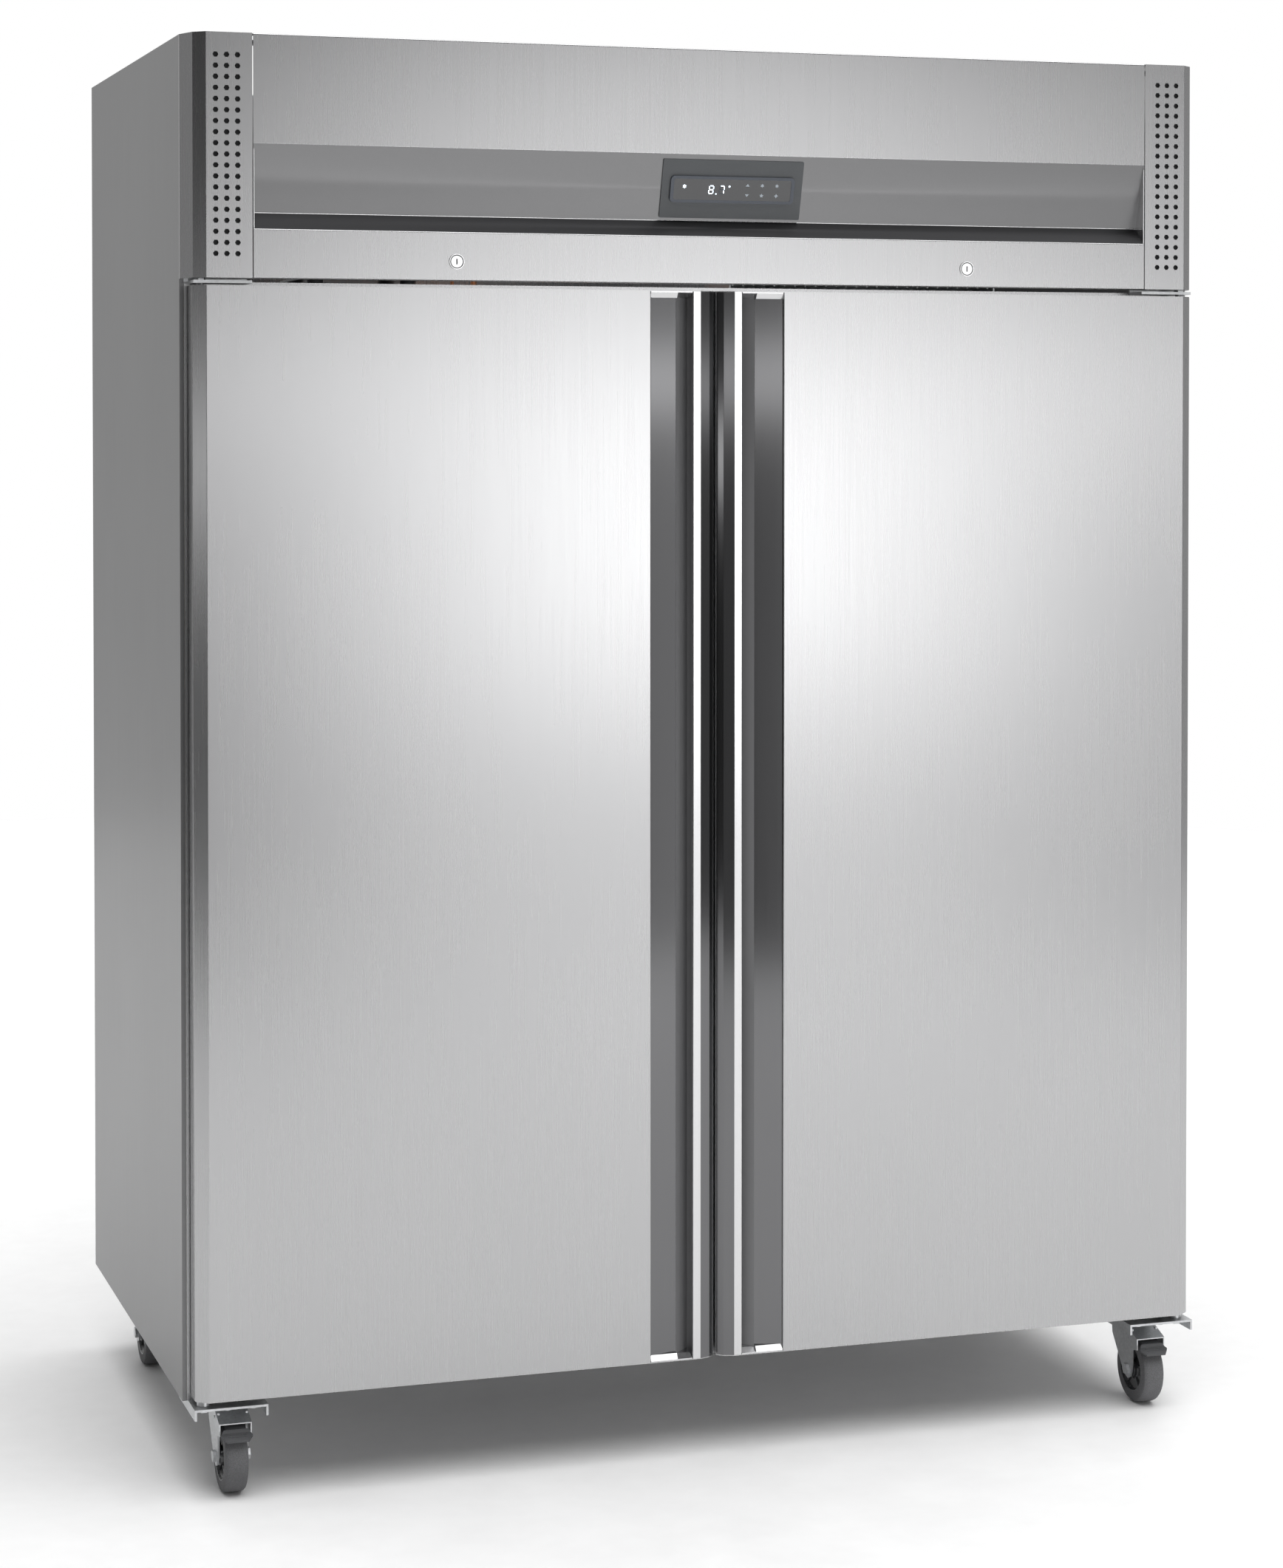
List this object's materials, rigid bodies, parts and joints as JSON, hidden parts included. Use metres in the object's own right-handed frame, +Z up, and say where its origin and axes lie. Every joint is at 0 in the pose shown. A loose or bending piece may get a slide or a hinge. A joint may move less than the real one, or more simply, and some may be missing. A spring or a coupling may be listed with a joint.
{
  "type": "reach in refrigerator",
  "caption": "Upright reach-in refrigerator with full-height doors, recessed edge handles, a tilting service panel with display and locks, inner shelves and swivel castors.",
  "frame": {"origin": "on the floor under the middle of the whole cabinet", "axes": "+Z up and the longest side, +X to the right seen from the front, +Y from the doors to the back"},
  "size_m": [1.51, 0.832, 1.99],
  "materials": {
    "brushed_steel": "brushed",
    "handle_steel": "brushed",
    "zinc_steel": "zinc plated, satin",
    "foam": "matte",
    "gasket": "matte",
    "bush_plastic": "matte",
    "display_frame": "satin",
    "controller": "gloss",
    "chrome": "polished",
    "black_enamel": "satin enamel",
    "fin_aluminium": "mill",
    "fan_plastic": "matte",
    "copper": "bare tube",
    "castor_tread": "scuffed",
    "pedal_plastic": "matte",
    "lamp": "diffuse",
    "nylon": "matte",
    "grey_box": "powder coat"
  },
  "bodies": {
    "cabinet": {"side_panel_left": "brushed_steel", "side_panel_right": "brushed_steel", "back_panel": "brushed_steel", "bottom_panel": "brushed_steel", "deck_panel": "brushed_steel", "insulation": "foam", "inner_liner": "brushed_steel", "front_frame": "brushed_steel", "hood_end_left": "brushed_steel", "hood_end_right": "brushed_steel", "top_hinges": "zinc_steel", "bottom_hinges": "zinc_steel", "fasteners": "zinc_steel", "shelf_supports": "brushed_steel", "shelves_left": "brushed_steel", "shelves_right": "brushed_steel", "evaporator_cover": "brushed_steel", "evaporator_coil": "fin_aluminium", "cabinet_lamp": "lamp", "castor_plates": "zinc_steel", "compressor": "black_enamel", "condenser": "fin_aluminium", "condenser_shroud": "zinc_steel", "fan_motors": "black_enamel", "pipework": "copper", "electrical_box": "grey_box", "cable_gland": "nylon", "rear_grille": "brushed_steel"},
    "service_panel": {"fascia_panel": "brushed_steel", "display_surround": "display_frame", "controller": "controller", "lock_housings": "chrome"},
    "lock_left": {"lock_plug_left": "chrome"},
    "lock_right": {"lock_plug_right": "chrome"},
    "evaporator_fan_left": {"evaporator_fan_left": "fan_plastic"},
    "evaporator_fan_right": {"evaporator_fan_right": "fan_plastic"},
    "condenser_fan": {"condenser_fan": "fan_plastic"},
    "door_left": {"door_skin_left": "brushed_steel", "door_handle_left": "handle_steel", "door_core_left": "foam", "door_inner_panel_left": "brushed_steel", "door_gasket_left": "gasket", "door_bushes_left": "bush_plastic"},
    "door_right": {"door_skin_right": "brushed_steel", "door_handle_right": "handle_steel", "door_core_right": "foam", "door_inner_panel_right": "brushed_steel", "door_gasket_right": "gasket", "door_bushes_right": "bush_plastic"},
    "castor_front_left": {"castor_fork_front_left": "zinc_steel"},
    "wheel_front_left": {"castor_wheel_front_left": "castor_tread"},
    "pedal_left": {"brake_pedal_left": "pedal_plastic"},
    "castor_front_right": {"castor_fork_front_right": "zinc_steel"},
    "wheel_front_right": {"castor_wheel_front_right": "castor_tread"},
    "pedal_right": {"brake_pedal_right": "pedal_plastic"},
    "castor_rear_left": {"castor_fork_rear_left": "zinc_steel"},
    "wheel_rear_left": {"castor_wheel_rear_left": "castor_tread"},
    "castor_rear_right": {"castor_fork_rear_right": "zinc_steel"},
    "wheel_rear_right": {"castor_wheel_rear_right": "castor_tread"}
  },
  "joints": [
    {"name": "door_left_hinge", "type": "hinge", "parent": "cabinet", "child": "door_left", "pos_m": [-0.731, -0.39, 0.13], "axis": [0, 0, -1], "range_deg": [0, 105], "stiffness_Nm_per_rad": 3, "springref_deg": -171.89},
    {"name": "door_right_hinge", "type": "hinge", "parent": "cabinet", "child": "door_right", "pos_m": [0.731, -0.39, 0.13], "axis": [0, 0, 1], "range_deg": [0, 105], "stiffness_Nm_per_rad": 3, "springref_deg": -171.89},
    {"name": "service_panel_hinge", "type": "hinge", "parent": "cabinet", "child": "service_panel", "pos_m": [0, -0.4, 1.978], "axis": [-1, 0, 0], "range_deg": [0, 75]},
    {"name": "lock_left_turn", "type": "hinge", "parent": "service_panel", "child": "lock_left", "pos_m": [-0.38, -0.414, 1.686], "axis": [0, 1, 0], "range_deg": [0, 90]},
    {"name": "lock_right_turn", "type": "hinge", "parent": "service_panel", "child": "lock_right", "pos_m": [0.38, -0.414, 1.686], "axis": [0, 1, 0], "range_deg": [0, 90]},
    {"name": "evaporator_fan_left_spin", "type": "hinge", "parent": "cabinet", "child": "evaporator_fan_left", "pos_m": [-0.2, -0.014, 1.49], "axis": [0, 0, 1], "continuous": true},
    {"name": "evaporator_fan_right_spin", "type": "hinge", "parent": "cabinet", "child": "evaporator_fan_right", "pos_m": [0.2, -0.014, 1.49], "axis": [0, 0, 1], "continuous": true},
    {"name": "condenser_fan_spin", "type": "hinge", "parent": "cabinet", "child": "condenser_fan", "pos_m": [0.262, -0.204, 1.7862], "axis": [0, 1, 0], "continuous": true},
    {"name": "castor_front_left_swivel", "type": "hinge", "parent": "cabinet", "child": "castor_front_left", "pos_m": [-0.688, -0.33, 0.115], "axis": [0, 0, 1], "continuous": true},
    {"name": "wheel_front_left_roll", "type": "hinge", "parent": "castor_front_left", "child": "wheel_front_left", "pos_m": [-0.688, -0.362, 0.05], "axis": [1, 0, 0], "continuous": true},
    {"name": "pedal_left_lift", "type": "hinge", "parent": "castor_front_left", "child": "pedal_left", "pos_m": [-0.688, -0.364, 0.1045], "axis": [-1, 0, 0], "range_deg": [0, 8]},
    {"name": "castor_front_right_swivel", "type": "hinge", "parent": "cabinet", "child": "castor_front_right", "pos_m": [0.688, -0.33, 0.115], "axis": [0, 0, 1], "continuous": true},
    {"name": "wheel_front_right_roll", "type": "hinge", "parent": "castor_front_right", "child": "wheel_front_right", "pos_m": [0.688, -0.362, 0.05], "axis": [1, 0, 0], "continuous": true},
    {"name": "pedal_right_lift", "type": "hinge", "parent": "castor_front_right", "child": "pedal_right", "pos_m": [0.688, -0.364, 0.1045], "axis": [-1, 0, 0], "range_deg": [0, 8]},
    {"name": "castor_rear_left_swivel", "type": "hinge", "parent": "cabinet", "child": "castor_rear_left", "pos_m": [-0.688, 0.321, 0.115], "axis": [0, 0, 1], "continuous": true},
    {"name": "wheel_rear_left_roll", "type": "hinge", "parent": "castor_rear_left", "child": "wheel_rear_left", "pos_m": [-0.688, 0.289, 0.05], "axis": [1, 0, 0], "continuous": true},
    {"name": "castor_rear_right_swivel", "type": "hinge", "parent": "cabinet", "child": "castor_rear_right", "pos_m": [0.688, 0.321, 0.115], "axis": [0, 0, 1], "continuous": true},
    {"name": "wheel_rear_right_roll", "type": "hinge", "parent": "castor_rear_right", "child": "wheel_rear_right", "pos_m": [0.688, 0.289, 0.05], "axis": [1, 0, 0], "continuous": true}
  ]
}
